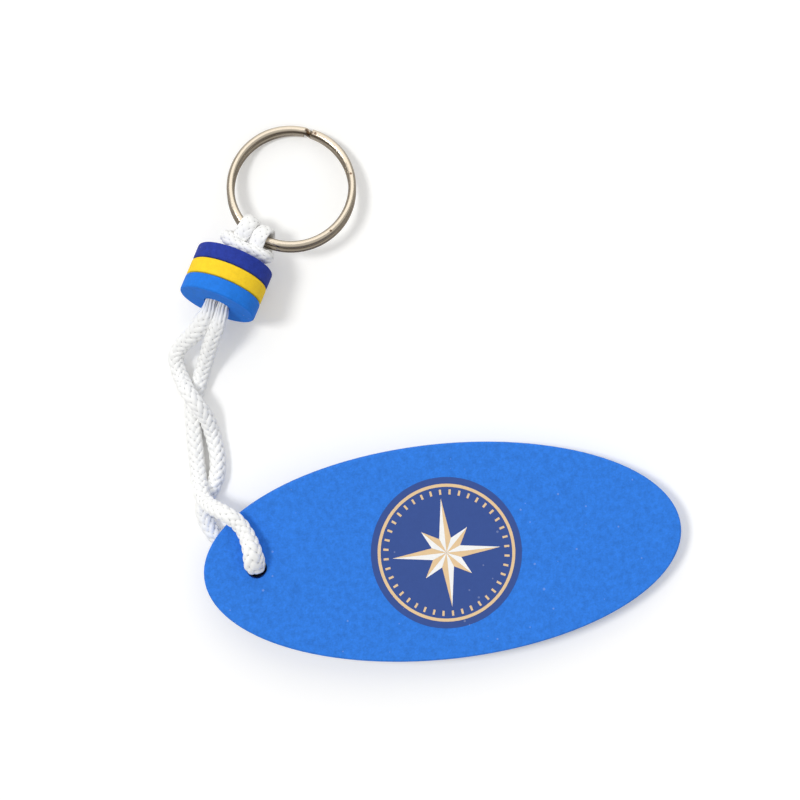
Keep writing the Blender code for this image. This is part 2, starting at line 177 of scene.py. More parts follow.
def printed(name, ink, level):
    """Makes the flat shape being edited into a film of ink on the float, so many films up."""
    bpy.ops.mesh.select_all(action="SELECT")
    bpy.ops.mesh.extrude_region_move(TRANSFORM_OT_translate={"value": (0.0, 0.0, INK_FILM)})
    bpy.ops.mesh.select_all(action="SELECT")
    bpy.ops.mesh.normals_make_consistent(inside=False)
    bpy.ops.object.mode_set(mode="OBJECT")
    film = bpy.context.object
    film.name = name
    film.matrix_world = print_place @ Matrix.Translation((0.0, 0.0, level * INK_FILM))
    bpy.ops.object.transform_apply(location=True, rotation=True, scale=True)
    film.data.materials.append(inks[ink])
    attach(film, "float")


bpy.ops.object.select_all(action="DESELECT")
bpy.ops.mesh.primitive_circle_add(vertices=160, radius=PRINT_RADIUS, fill_type="NGON")
bpy.ops.object.mode_set(mode="EDIT")
printed("print_disc", "ink_navy", 0.3)

RING_OUTER = 0.0134
RING_WIDTH = 0.0006
bpy.ops.object.select_all(action="DESELECT")
bpy.ops.mesh.primitive_circle_add(vertices=160, radius=RING_OUTER, fill_type="NGON")
bpy.ops.object.mode_set(mode="EDIT")
bpy.ops.mesh.select_all(action="SELECT")
bpy.ops.mesh.inset(thickness=RING_WIDTH, depth=0.0)
bpy.ops.mesh.delete(type="FACE")
printed("print_ring", "ink_tan", 1.3)

TICK_RADIUS = 0.0118
TICK_LENGTH = 0.0010
TICK_WIDTH = 0.00042
TICKS = 40
bpy.ops.object.select_all(action="DESELECT")
bpy.ops.mesh.primitive_plane_add(size=1.0)
bpy.ops.object.mode_set(mode="EDIT")
bpy.ops.mesh.select_all(action="SELECT")
bpy.ops.transform.resize(value=(TICK_LENGTH, TICK_WIDTH, 1.0), center_override=(0.0, 0.0, 0.0))
bpy.ops.transform.translate(value=(TICK_RADIUS, 0.0, 0.0))
bpy.ops.mesh.spin(dupli=True, steps=TICKS, angle=math.tau, center=(0.0, 0.0, 0.0), axis=(0.0, 0.0, 1.0))
bpy.ops.mesh.select_all(action="SELECT")
bpy.ops.mesh.remove_doubles(threshold=0.00001)
printed("print_ticks", "ink_tan", 1.3)

# The rose's points end at these radii: four long, four short, and the notches between them. Its halves of a
# point are each a film of their own, drawn in by a small share so that they don't touch.
LONG_POINT = 0.0106
SHORT_POINT = 0.0064
NOTCH = 0.0030
ROSE_GAP = 0.004
SPOKES = 16
for name, ink, turned in (("print_rose_white", "ink_white", 0), ("print_rose_tan", "ink_tan", 1)):
    bpy.ops.object.select_all(action="DESELECT")
    bpy.ops.mesh.primitive_circle_add(vertices=SPOKES, radius=LONG_POINT, fill_type="TRIFAN")
    rose = bpy.context.object
    for vertex in rose.data.vertices:
        if vertex.co.length > NOTCH:
            spoke = round(math.atan2(vertex.co.y, vertex.co.x) / (math.tau / SPOKES)) % SPOKES
            reach = NOTCH if spoke % 2 else (SHORT_POINT if spoke % 4 else LONG_POINT)
            vertex.co *= reach / LONG_POINT
    bpy.ops.object.mode_set(mode="EDIT")
    bpy.ops.mesh.select_mode(type="FACE")
    bpy.ops.mesh.select_all(action="DESELECT")
    bpy.ops.object.mode_set(mode="OBJECT")
    for face in rose.data.polygons:
        middle = math.atan2(face.center.y, face.center.x) / (math.tau / SPOKES)
        face.select = math.floor(middle) % 2 != turned
    bpy.ops.object.mode_set(mode="EDIT")
    bpy.ops.mesh.delete(type="FACE")
    bpy.ops.mesh.select_all(action="SELECT")
    bpy.ops.mesh.edge_split(type="VERT")
    bpy.ops.object.mode_set(mode="OBJECT")
    for face in rose.data.polygons:
        for index in face.vertices:
            rose.data.vertices[index].co = rose.data.vertices[index].co.lerp(face.center, ROSE_GAP)
    bpy.ops.object.mode_set(mode="EDIT")
    printed(name, ink, 1.3)

# The cord is one white braid, 3 mm across, of twelve multi-filament yarns that pass over two and under two.
# It leaves the bead, goes under the float, up through its hole and back. Inside the bead it is squeezed, and
# outside its soft yarns make it a little wider than its size.
CORD_DIAMETER = 0.0030
CORD_SQUEEZED = 0.00235
STRAND_GAP = 0.00014
CORD_ROUTE = [
    (-0.0454, 0.0467, 0.0100), (-0.0465, 0.0448, 0.0090), (-0.0488, 0.0420, 0.0064),
    (-0.0511, 0.0401, 0.0040), (-0.0522, 0.0381, 0.0027), (-0.0519, 0.0358, 0.0022),
    (-0.0509, 0.0332, 0.0029), (-0.0496, 0.0309, 0.0046), (-0.0480, 0.0287, 0.0048),
    (-0.0463, 0.0261, 0.0033), (-0.0453, 0.0233, 0.0019), (-0.0446, 0.0205, 0.0016),
    (-0.0442, 0.0177, 0.0016), (-0.0443, 0.0150, 0.0016), (-0.0449, 0.0130, 0.0016),
    (-0.0458, 0.0113, 0.0016), (-0.0466, 0.0099, 0.0016), (-0.0470, 0.0083, 0.0016),
    (-0.0467, 0.0065, 0.0016), (-0.0458, 0.0046, 0.0016), (-0.0445, 0.0028, 0.0016),
    (-0.0425, 0.0010, 0.0016), (-0.0402, -0.0005, 0.0016), (-0.0382, -0.0017, 0.0016),
    (-0.0366, -0.0027, 0.0024), (-0.0360, -0.0028, 0.0044), (-0.0359, -0.0027, 0.0064),
    (-0.0358, -0.0027, 0.0086), (-0.0364, -0.0019, 0.0107), (-0.0368, 0.0003, 0.0116),
    (-0.0375, 0.0024, 0.0111), (-0.0384, 0.0042, 0.0108), (-0.0397, 0.0059, 0.0108),
    (-0.0415, 0.0072, 0.0108), (-0.0435, 0.0082, 0.0094), (-0.0452, 0.0090, 0.0072),
    (-0.0464, 0.0100, 0.0055), (-0.0472, 0.0115, 0.0044), (-0.0476, 0.0130, 0.0032),
    (-0.0479, 0.0146, 0.0023), (-0.0482, 0.0171, 0.0016), (-0.0485, 0.0199, 0.0016),
    (-0.0488, 0.0226, 0.0016), (-0.0490, 0.0254, 0.0016), (-0.0491, 0.0279, 0.0016),
    (-0.0486, 0.0305, 0.0016), (-0.0479, 0.0326, 0.0017), (-0.0472, 0.0350, 0.0022),
    (-0.0463, 0.0375, 0.0036), (-0.0454, 0.0400, 0.0056), (-0.0444, 0.0423, 0.0078),
    (-0.0435, 0.0444, 0.0094), (-0.0429, 0.0460, 0.0100),
]
# The route is written from the middle of the float, so it is moved to where the keychain lies.
ROUTE_START = Vector((0.0021496, -0.0310556, 0.00005))
BEAD_CENTRE = Vector((-0.0398504, 0.0212444, 0.0086153))
BEAD_AXIS = Vector((-0.355581, -0.898095, 0.258819))
BEAD_SIDE = Vector((0.929776, -0.368125, 0.0))
BEAD_HALF = 0.0049
YARN_COLUMNS = 6
YARN_PITCH = 0.00165
YARN_RELIEF = 0.00032
# In shares of a yarn's place in the braid: its half width, how deep it dives at its ends, and the half width,
# half length and depth of the pits where four yarns meet.
YARN_HALF = 0.54
YARN_DIVE = 0.55
PIT_ACROSS = 0.17
PIT_ALONG = 0.24
PIT_DEPTH = 0.9
# Where the cord is pulled straight: yarns to a column of the braid, and how far and how fast they sway.
STRAIGHT_YARNS = 1.5
STRAIGHT_SWAY = 0.25
SWAY_PACE = 1.3
BRAID_STEP = 0.00014
BRAID_SIDES = 64


def drawn_through(name, points):
    """A smooth line through the points, drawn as a curve and read back as places close together."""
    data = bpy.data.curves.new(name, "CURVE")
    data.dimensions = "3D"
    data.resolution_u = 16
    spline = data.splines.new("BEZIER")
    spline.bezier_points.add(len(points) - 1)
    for knot, place in zip(spline.bezier_points, points):
        knot.co = place
        knot.handle_left_type = "AUTO"
        knot.handle_right_type = "AUTO"
    line = bpy.data.objects.new(name, data)
    bpy.context.scene.collection.objects.link(line)
    mesh = bpy.data.meshes.new_from_object(line.evaluated_get(bpy.context.evaluated_depsgraph_get()))
    places = np.array([v.co[:] for v in mesh.vertices])
    bpy.data.objects.remove(line, do_unlink=True)
    bpy.data.meshes.remove(mesh)
    return places


def evenly(places, step):
    """The same line with its places a step apart, and how far along each one is."""
    run = np.concatenate([[0.0], np.cumsum(np.linalg.norm(np.diff(places, axis=0), axis=1))])
    along = np.linspace(0.0, run[-1], max(2, round(run[-1] / step)) + 1)
    return np.stack([np.interp(along, run, places[:, k]) for k in range(3)], axis=1), along


def carried_frames(places, first_side):
    """A side and an up direction at each place, carried along the line without twisting it."""
    ahead = np.gradient(places, axis=0)
    ahead /= np.linalg.norm(ahead, axis=1)[:, None]
    side = np.array(first_side, dtype=float)
    sides = np.empty_like(places)
    for index, forward in enumerate(ahead):
        side = side - forward * side.dot(forward)
        side /= np.linalg.norm(side)
        sides[index] = side
    return ahead, sides, np.cross(ahead, sides)


def braid_pattern(around, along):
    """Relief, 0 in the gaps and 1 on a yarn's top; the place across and along its yarn; and which yarn."""
    lean_right = around + along
    lean_left = along - around
    right_yarn = np.round(lean_right)
    left_yarn = np.round(lean_left)
    off_right = lean_right - right_yarn
    off_left = lean_left - left_yarn
    column = np.mod(right_yarn - left_yarn, 4)
    right_on_top = column < 1.5
    across = np.where(right_on_top, off_right, off_left)
    onward = np.where(
        right_on_top,
        off_left + np.where(column < 0.5, 0.5, -0.5),
        off_right + np.where(column < 2.5, -0.5, 0.5),
    )
    crown = np.sqrt(np.clip(1.0 - (across / YARN_HALF) ** 2, 0.0, 1.0))
    dive = 1.0 - YARN_DIVE * np.abs(onward) ** 3
    off_edge = (0.5 - np.abs(across)) / PIT_ACROSS
    off_end = (1.0 - np.abs(onward)) / PIT_ALONG
    pit = np.exp(-(off_edge**2) - off_end**2)
    yarn = np.where(right_on_top, right_yarn * 3.7, left_yarn * 5.3 + 40.0)
    return crown * dive * (1.0 - PIT_DEPTH * pit), across, onward, yarn


def braided(name, places, along, half_width, half_height, first_side, pulled):
    """A closed tube of cord round the line, with its yarns in relief and two UV maps: weave and yarn.
    Where it is pulled straight, from 0 to 1 at each place, its yarns run along it and don't cross."""
    ahead, sides, ups = carried_frames(places, first_side)
    turn = np.arange(BRAID_SIDES) / BRAID_SIDES
    angle = turn * math.tau
    around, onward = np.meshgrid(turn * YARN_COLUMNS, along / YARN_PITCH)
    sway = STRAIGHT_SWAY * np.sin(onward * SWAY_PACE + around)
    straight = 0.5 + 0.5 * np.cos(math.tau * (around * STRAIGHT_YARNS + sway))
    relief = braid_pattern(around, onward)[0] * (1.0 - pulled[:, None]) + straight * pulled[:, None]
    cosine, sine = np.cos(angle)[None, :], np.sin(angle)[None, :]
    wide = (half_width[:, None] * cosine)[..., None] * sides[:, None, :]
    high = (half_height[:, None] * sine)[..., None] * ups[:, None, :]
    outward = cosine[..., None] * sides[:, None, :] + sine[..., None] * ups[:, None, :]
    drop = (relief - 1.0) * YARN_RELIEF * np.minimum(half_width, half_height)[:, None] / (CORD_DIAMETER / 2)
    rings = places[:, None, :] + wide + high + outward * drop[..., None]
    count = len(places)
    vertices = np.concatenate([rings.reshape(-1, 3), places[:1], places[-1:]])
    ring = np.arange(count - 1)[:, None] * BRAID_SIDES
    here = np.arange(BRAID_SIDES)[None, :]
    there = (here + 1) % BRAID_SIDES
    onward_ring = ring + BRAID_SIDES
    quads = np.stack([ring + here, ring + there, onward_ring + there, onward_ring + here], axis=-1)
    first, last = count * BRAID_SIDES, count * BRAID_SIDES + 1
    end = (count - 1) * BRAID_SIDES
    faces = quads.reshape(-1, 4).tolist()
    faces += [(first, (k + 1) % BRAID_SIDES, k) for k in range(BRAID_SIDES)]
    faces += [(last, end + k, end + (k + 1) % BRAID_SIDES) for k in range(BRAID_SIDES)]
    mesh = bpy.data.meshes.new(name)
    mesh.from_pydata(vertices.tolist(), [], faces)
    # The corners of the two ends' triangles come last and have no place in the weave.
    at_ends = np.zeros(6 * BRAID_SIDES)
    corner_turn = np.concatenate([np.tile([0, 1, 1, 0], (count - 1) * BRAID_SIDES), at_ends])
    corner_step = np.concatenate([np.tile([0, 0, 1, 1], (count - 1) * BRAID_SIDES), at_ends])
    face_turn = np.concatenate([np.tile(np.arange(BRAID_SIDES), count - 1).repeat(4), at_ends])
    face_step = np.concatenate([np.arange(count - 1).repeat(BRAID_SIDES * 4), at_ends])
    mid_around = (face_turn + 0.5) / BRAID_SIDES * YARN_COLUMNS
    mid_along = (face_step + 0.5) * (along[1] - along[0]) / YARN_PITCH
    _, mid_across, mid_onward, yarn = braid_pattern(mid_around, mid_along)
    shift_around = (corner_turn - 0.5) / BRAID_SIDES * YARN_COLUMNS
    shift_along = (corner_step - 0.5) * (along[1] - along[0]) / YARN_PITCH
    column = np.mod(np.round(mid_around + mid_along) - np.round(mid_along - mid_around), 4)
    leans = np.where(column < 1.5, 1.0, -1.0)
    across = mid_across + shift_along + leans * shift_around
    onward_place = mid_onward + shift_along - leans * shift_around
    weave = mesh.uv_layers.new(name="weave")
    woven = np.stack([mid_around + shift_around, mid_along + shift_along], axis=1)
    weave.uv.foreach_set("vector", woven.ravel())
    yarns = mesh.uv_layers.new(name="yarn")
    yarns.uv.foreach_set("vector", np.stack([across + yarn, onward_place], axis=1).ravel())
    depth = mesh.attributes.new("relief", "FLOAT", "POINT")
    depth.data.foreach_set("value", np.concatenate([relief.ravel(), [0.0, 0.0]]).astype(np.float32))
    mesh.shade_smooth()
    cord = bpy.data.objects.new(name, mesh)
    bpy.context.scene.collection.objects.link(cord)
    return cord


strand_offset = BEAD_SIDE * (CORD_SQUEEZED + STRAND_GAP) / 2
stations = (0.0, BEAD_HALF / 2, BEAD_HALF)
inside_left = [BEAD_CENTRE - strand_offset + BEAD_AXIS * station for station in stations]
inside_right = [BEAD_CENTRE + strand_offset + BEAD_AXIS * station for station in reversed(stations)]
loop_points = inside_left + [Vector(place) + ROUTE_START for place in CORD_ROUTE] + inside_right
loop_places, loop_along = evenly(drawn_through("cord_line", loop_points), BRAID_STEP)
# Past the bead's face the strands spread before they round up. These are the millimetres past it, and the
# half sizes there in millimetres.
SPREAD_AT = (0.0, 1.5, 4.0, 8.0, 12.0)
SPREAD_LEFT = (1.20, 1.45, 1.90, 1.85, 1.65)
SPREAD_RIGHT = (1.20, 1.45, 1.60, 1.65, 1.65)
SPREAD_HIGH = (1.20, 1.30, 1.40, 1.55, 1.60)
to_start = loop_along - BEAD_HALF
to_end = loop_along[-1] - loop_along - BEAD_HALF
from_left = np.interp(to_start * 1000, SPREAD_AT, SPREAD_LEFT) / 1000
from_right = np.interp(to_end * 1000, SPREAD_AT, SPREAD_RIGHT) / 1000
first_half = loop_along < loop_along[-1] / 2
loop_width = np.where(first_half, from_left, from_right)
# The cord is narrow in the float's hole and swells where it bends over the rim. These are the millimetres
# past the hole's mouth, and what they add to the half width.
SWELLS_AT = (-7.0, -4.0, 0.0, 1.2, 2.4, 4.5, 9.0)
SWELLS_BY = (0.0, -0.3, -0.3, 0.4, 0.8, 0.5, 0.0)
HOLE_MOUTH = Vector((-0.0358, -0.0027, 0.0086)) + ROUTE_START
mouth = loop_along[np.argmin(np.linalg.norm(loop_places - np.array(HOLE_MOUTH), axis=1))]
swelling = np.interp((loop_along - mouth) * 1000, SWELLS_AT, SWELLS_BY)
loop_width += swelling / 1000
loop_height = np.interp(np.minimum(to_start, to_end) * 1000, SPREAD_AT, SPREAD_HIGH) / 1000
loop_height += np.minimum(swelling, 0.0) / 1000
# Its yarns run straight where it leaves the bead, and cross again over this length.
LOOP_SETTLES = 0.0035
loop_pulled = np.clip(1.25 - np.minimum(to_start, to_end) / LOOP_SETTLES, 0.0, 1.0)
cord_loop = braided("cord_loop", loop_places, loop_along, loop_width, loop_height, BEAD_SIDE, loop_pulled)
cord_white = bpy.data.materials.new("cord_white")
cord_white.use_nodes = True
nodes, links = cord_white.node_tree.nodes, cord_white.node_tree.links
shader = nodes["Principled BSDF"]
shader.inputs["Roughness"].default_value = 0.55
shader.inputs["Sheen Weight"].default_value = 0.35
# The relief darkens the cord's colour: painted shade in the gaps and pits between the yarns and on the yarns'
# edges.
relief_value = nodes.new("ShaderNodeAttribute")
relief_value.attribute_name = "relief"
gap_shade = nodes.new("ShaderNodeValToRGB")
gap_shade.color_ramp.elements[0].position = 0.05
gap_shade.color_ramp.elements[0].color = (0.33, 0.335, 0.34, 1.0)
gap_shade.color_ramp.elements[1].position = 0.55
gap_shade.color_ramp.elements[1].color = (0.99, 0.99, 0.975, 1.0)
yarn_edge_shade = gap_shade.color_ramp.elements.new(0.26)
yarn_edge_shade.color = (0.88, 0.88, 0.865, 1.0)
links.new(relief_value.outputs["Fac"], gap_shade.inputs["Fac"])
links.new(gap_shade.outputs["Color"], shader.inputs["Base Color"])
yarn_map = nodes.new("ShaderNodeUVMap")
yarn_map.uv_map = "yarn"
filament_scale = nodes.new("ShaderNodeMapping")
filament_scale.inputs["Scale"].default_value = (9.0, 0.7, 1.0)
filaments = nodes.new("ShaderNodeTexNoise")
filaments.inputs["Scale"].default_value = 1.0
filaments.inputs["Detail"].default_value = 3.0
filament_bump = nodes.new("ShaderNodeBump")
filament_bump.inputs["Strength"].default_value = 0.5
filament_bump.inputs["Distance"].default_value = 0.00006
links.new(yarn_map.outputs["UV"], filament_scale.inputs["Vector"])
links.new(filament_scale.outputs["Vector"], filaments.inputs["Vector"])
links.new(filaments.outputs["Fac"], filament_bump.inputs["Height"])
links.new(filament_bump.outputs["Normal"], shader.inputs["Normal"])
cord_loop.data.materials.append(cord_white)
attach(cord_loop, "lanyard")
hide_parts("cord")

# The hitch is the same cord, tied on the split ring: from the bead both strands pass over the wire, pressed
# flat, go down inside the ring and back under the wire, and the bar between them crosses over the strands.
WIRE_PLACE = Vector((-0.0345307, 0.0304620, 0.0063471))
TOWARDS_BEAD = Vector((-0.59623, -0.780558, 0.187744))
ALONG_WIRE = Vector((0.80282, -0.579697, 0.139432))
RING_UP = Vector((0.0, 0.233856, 0.972271))
# Each place is in millimetres from the wire: towards the bead, along the wire, up, half width, half height.
HITCH_ROUTE = [
    (5.30, -1.60, -0.45, 1.40, 1.25), (4.00, -1.80, -0.35, 1.45, 1.05), (2.90, -1.75, 0.50, 1.50, 0.95),
    (1.95, -1.65, 1.60, 1.60, 0.85), (0.90, -1.65, 2.35, 1.65, 0.80), (-0.50, -1.75, 2.45, 1.65, 0.78),
    (-1.75, -1.90, 1.65, 1.60, 0.78), (-2.25, -1.95, 0.30, 1.60, 0.78), (-2.00, -2.00, -1.20, 1.60, 0.78),
    (-0.90, -2.20, -2.30, 1.60, 0.80), (0.60, -2.70, -2.60, 1.55, 0.85), (2.00, -3.35, -2.20, 1.45, 1.05),
    (3.00, -3.90, -1.10, 1.40, 1.30), (3.40, -4.00, 0.25, 1.40, 1.40), (3.75, -3.35, 1.45, 1.40, 1.40),
    (4.05, -1.90, 1.90, 1.35, 1.40), (3.95, -0.30, 2.05, 1.30, 1.40), (3.60, 1.20, 2.05, 1.30, 1.40),
    (3.15, 2.70, 1.85, 1.35, 1.40), (2.55, 4.05, 1.25, 1.40, 1.40), (2.05, 4.55, 0.10, 1.40, 1.40),
    (1.75, 4.20, -1.20, 1.40, 1.30), (1.20, 3.45, -2.25, 1.45, 1.05), (0.00, 2.60, -2.65, 1.55, 0.85),
    (-1.30, 1.95, -2.10, 1.60, 0.78), (-2.15, 1.55, -0.80, 1.60, 0.78), (-2.20, 1.35, 0.60, 1.60, 0.78),
    (-1.45, 1.30, 1.90, 1.60, 0.78), (-0.10, 1.40, 2.50, 1.65, 0.80), (1.20, 1.70, 2.20, 1.65, 0.82),
    (2.20, 1.95, 1.30, 1.55, 0.90), (3.10, 2.00, 0.20, 1.50, 0.95), (4.10, 1.80, -0.60, 1.45, 1.05),
    (5.10, 1.55, -0.60, 1.40, 1.25),
]
HITCH_SETTLES = 0.003
squeezed_half = CORD_SQUEEZED / 2 * 1000
hitch_points = [BEAD_CENTRE - strand_offset, BEAD_CENTRE - strand_offset - BEAD_AXIS * BEAD_HALF / 2]
hitch_points.append(BEAD_CENTRE - strand_offset - BEAD_AXIS * BEAD_HALF)
for towards_bead, along_wire, up, _, _ in HITCH_ROUTE:
    offset = TOWARDS_BEAD * towards_bead + ALONG_WIRE * along_wire + RING_UP * up
    hitch_points.append(WIRE_PLACE + offset * 0.001)
hitch_points.append(BEAD_CENTRE + strand_offset - BEAD_AXIS * BEAD_HALF)
hitch_points.append(BEAD_CENTRE + strand_offset - BEAD_AXIS * BEAD_HALF / 2)
hitch_points.append(BEAD_CENTRE + strand_offset)
hitch_places, hitch_along = evenly(drawn_through("hitch_line", hitch_points), BRAID_STEP)
nearest = [int(np.argmin(np.linalg.norm(hitch_places - np.array(place), axis=1))) for place in hitch_points]
known_widths = [squeezed_half] * 3 + [place[3] for place in HITCH_ROUTE] + [squeezed_half] * 3
known_heights = [squeezed_half] * 3 + [place[4] for place in HITCH_ROUTE] + [squeezed_half] * 3
half_widths = np.interp(hitch_along, hitch_along[nearest], known_widths) * 0.001
half_heights = np.interp(hitch_along, hitch_along[nearest], known_heights) * 0.001
to_bead = np.minimum(hitch_along, hitch_along[-1] - hitch_along) - BEAD_HALF
hitch_pulled = np.clip(1.0 - to_bead / HITCH_SETTLES, 0.0, 1.0)
hitch = braided("hitch", hitch_places, hitch_along, half_widths, half_heights, BEAD_SIDE, hitch_pulled)
hitch.data.materials.append(cord_white)
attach(hitch, "lanyard")
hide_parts("cord_hitch")

# The split ring is spring steel wire wound twice and nickel plated. The end of the upper turn lies where the
# wire steps up from the lower turn. The wire's sides and the line where its two turns meet are darkened with
# painted shade, and the plating is worn at that step.
RING_CENTRE = Vector((-0.0274356, 0.0397506, 0.0041129))
RING_ACROSS = Vector((0.0, 0.972271, -0.233856))
RING_RADIUS = 0.01188
WIRE_WIDTH = 0.00150
WIRE_HEIGHT = 0.00128
TURN_RISE = 0.00068
TURN_SHIFT = 0.00020
STEP_START = math.radians(71.0)
STEP_END = math.radians(77.6)
WIRE_SIDES = 32
TURN_STEPS = 220
# In radians: how far short of the step the wire's ends stay, and from how far off the turns lie aside fully.
END_GAP = 0.012
ASIDE_FROM = math.radians(40.0)
first_angle = STEP_END + END_GAP
last_angle = 2 * math.tau + STEP_START - END_GAP


def wire_offset(angle):
    """How far the wire's middle is off the ring's plane and to one side, at this angle of its two turns."""
    share = min(max((angle - math.tau - STEP_START) / (STEP_END - STEP_START), 0.0), 1.0)
    layer = 2.0 * share * share * (3.0 - 2.0 * share) - 1.0
    from_step = abs(math.remainder(angle - (STEP_START + STEP_END) / 2, math.tau))
    sideways = min(1.0, from_step / ASIDE_FROM)
    return layer * TURN_RISE, layer * TURN_SHIFT * sideways


bpy.ops.object.select_all(action="DESELECT")
bpy.ops.mesh.primitive_circle_add(vertices=WIRE_SIDES, radius=0.5, fill_type="NGON")
split_ring = bpy.context.object
split_ring.name = "split_ring_wire"
rise, shift = wire_offset(first_angle)
bpy.ops.object.mode_set(mode="EDIT")
bpy.ops.mesh.select_all(action="SELECT")
bpy.ops.transform.resize(value=(WIRE_WIDTH, WIRE_HEIGHT, 1.0), center_override=(0.0, 0.0, 0.0))
bpy.ops.transform.rotate(value=math.pi / 2, orient_axis="X", center_override=(0.0, 0.0, 0.0))
bpy.ops.transform.translate(value=(RING_RADIUS, 0.0, 0.0))
bpy.ops.transform.rotate(value=-first_angle, orient_axis="Z", center_override=(0.0, 0.0, 0.0))
bpy.ops.transform.translate(value=(0.0, shift, rise))
angles = np.linspace(first_angle, last_angle, 2 * TURN_STEPS + 1)
for angle, onward_angle in zip(angles, angles[1:]):
    rise, shift = wire_offset(angle)
    next_rise, next_shift = wire_offset(onward_angle)
    bpy.ops.mesh.extrude_region_move(TRANSFORM_OT_translate={"value": (0.0, -shift, -rise)})
    bpy.ops.transform.rotate(value=angle - onward_angle, orient_axis="Z", center_override=(0.0, 0.0, 0.0))
    bpy.ops.transform.translate(value=(0.0, next_shift, next_rise))
bpy.ops.mesh.select_all(action="SELECT")
bpy.ops.mesh.normals_make_consistent(inside=False)
bpy.ops.object.mode_set(mode="OBJECT")
bpy.ops.object.shade_smooth_by_angle(angle=math.radians(50.0))
# The brown worn places on the upper turn: the angle round the ring in degrees and the size of each.
WORN = ((73.5, 0.0010), (67.5, 0.0004), (13.0, 0.0003), (-49.0, 0.0003))
wire_points = np.array([v.co[:] for v in split_ring.data.vertices])
rises = wire_points[:, 2]
off_middle = np.hypot(wire_points[:, 0], wire_points[:, 1] - np.sign(rises) * TURN_SHIFT) - RING_RADIUS
# Painted shade: full on the wire's sides and where its two turns meet, none on its top.
painted_shade = np.clip(np.abs(off_middle) / (WIRE_WIDTH / 2), 0.0, 1.0)
painted_shade = np.maximum(painted_shade, 1.0 - np.abs(rises) / TURN_RISE)
worn = np.zeros(len(wire_points))
for angle_deg, size in WORN:
    angle = math.radians(angle_deg)
    spot = np.array([math.cos(angle), math.sin(angle), 0.0]) * RING_RADIUS
    spot[2] = TURN_RISE + WIRE_HEIGHT / 2
    worn = np.maximum(worn, np.exp(-((np.linalg.norm(wire_points - spot, axis=1) / size) ** 2)))
for name, values in (("painted_shade", painted_shade), ("worn", worn)):
    kept = split_ring.data.attributes.new(name, "FLOAT", "POINT")
    kept.data.foreach_set("value", values.astype(np.float32))
ring_place = Matrix((Vector((1.0, 0.0, 0.0)), RING_ACROSS, RING_UP)).transposed().to_4x4()
ring_place.translation = RING_CENTRE
split_ring.matrix_world = ring_place
bpy.ops.object.transform_apply(location=True, rotation=True, scale=True)
nickel = bpy.data.materials.new("nickel_plating")
nickel.use_nodes = True
nodes, links = nickel.node_tree.nodes, nickel.node_tree.links
shader = nodes["Principled BSDF"]
shader.inputs["Metallic"].default_value = 1.0
place = nodes.new("ShaderNodeTexCoord")
painted_shade_value = nodes.new("ShaderNodeAttribute")
painted_shade_value.attribute_name = "painted_shade"
worn_value = nodes.new("ShaderNodeAttribute")
worn_value.attribute_name = "worn"
rubs = nodes.new("ShaderNodeTexNoise")
rubs.inputs["Scale"].default_value = 1500.0
rubs.inputs["Detail"].default_value = 3.0
links.new(place.outputs["Object"], rubs.inputs["Vector"])
# The plating's colour goes dark with the painted shade on the wire's sides and between its turns.
painted_shade_ramp = nodes.new("ShaderNodeValToRGB")
painted_shade_ramp.color_ramp.elements[0].position = 0.60
painted_shade_ramp.color_ramp.elements[0].color = (0.78, 0.68, 0.54, 1.0)
painted_shade_ramp.color_ramp.elements[1].position = 0.97
painted_shade_ramp.color_ramp.elements[1].color = (0.14, 0.105, 0.070, 1.0)
links.new(painted_shade_value.outputs["Fac"], painted_shade_ramp.inputs["Fac"])
ragged = nodes.new("ShaderNodeMath")
ragged.operation = "MULTIPLY"
links.new(worn_value.outputs["Fac"], ragged.inputs[0])
links.new(rubs.outputs["Fac"], ragged.inputs[1])
worn_reach = nodes.new("ShaderNodeMapRange")
worn_reach.inputs["From Min"].default_value = 0.18
worn_reach.inputs["From Max"].default_value = 0.34
links.new(ragged.outputs["Value"], worn_reach.inputs["Value"])
plating = nodes.new("ShaderNodeMix")
plating.data_type = "RGBA"
plating.inputs["B"].default_value = (0.26, 0.17, 0.115, 1.0)
links.new(worn_reach.outputs["Result"], plating.inputs["Factor"])
links.new(painted_shade_ramp.outputs["Color"], plating.inputs["A"])
links.new(plating.outputs["Result"], shader.inputs["Base Color"])
dulled = nodes.new("ShaderNodeMapRange")
dulled.inputs["To Min"].default_value = 0.12
dulled.inputs["To Max"].default_value = 0.32
links.new(rubs.outputs["Fac"], dulled.inputs["Value"])
links.new(dulled.outputs["Result"], shader.inputs["Roughness"])
rub_bump = nodes.new("ShaderNodeBump")
rub_bump.inputs["Strength"].default_value = 0.3
rub_bump.inputs["Distance"].default_value = 0.00002
links.new(rubs.outputs["Fac"], rub_bump.inputs["Height"])
links.new(rub_bump.outputs["Normal"], shader.inputs["Normal"])
split_ring.data.materials.append(nickel)
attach(split_ring, "ring")
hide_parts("split_ring")

# The table is a plain white sheet. For the camera it is lifted to white where it is open, and it keeps the
# shadows. Round the place under the float's hole a shadow is painted on it: it is dark to the first of these
# distances, and as light as elsewhere from the second.
UNDER_HOLE = (-0.0341, -0.0341, 0.0)
DARK_UNTIL = 0.0032
LIGHT_FROM = 0.0050
bpy.ops.object.select_all(action="DESELECT")
bpy.ops.mesh.primitive_plane_add(size=6.0, location=(0.0, 0.0, 0.0))
table_top = bpy.context.object
table_top.name = "table_top"
paper = bpy.data.materials.new("paper")
paper.use_nodes = True
nodes, links = paper.node_tree.nodes, paper.node_tree.links
shader = nodes["Principled BSDF"]
shader.inputs["Roughness"].default_value = 0.9
shader.inputs["Specular IOR Level"].default_value = 0.1
shader.inputs["Emission Color"].default_value = (1.0, 1.0, 1.0, 1.0)
rays = nodes.new("ShaderNodeLightPath")
open_sky = nodes.new("ShaderNodeAmbientOcclusion")
open_sky.inputs["Distance"].default_value = 0.006
openness = nodes.new("ShaderNodeMapRange")
openness.inputs["From Max"].default_value = 0.35
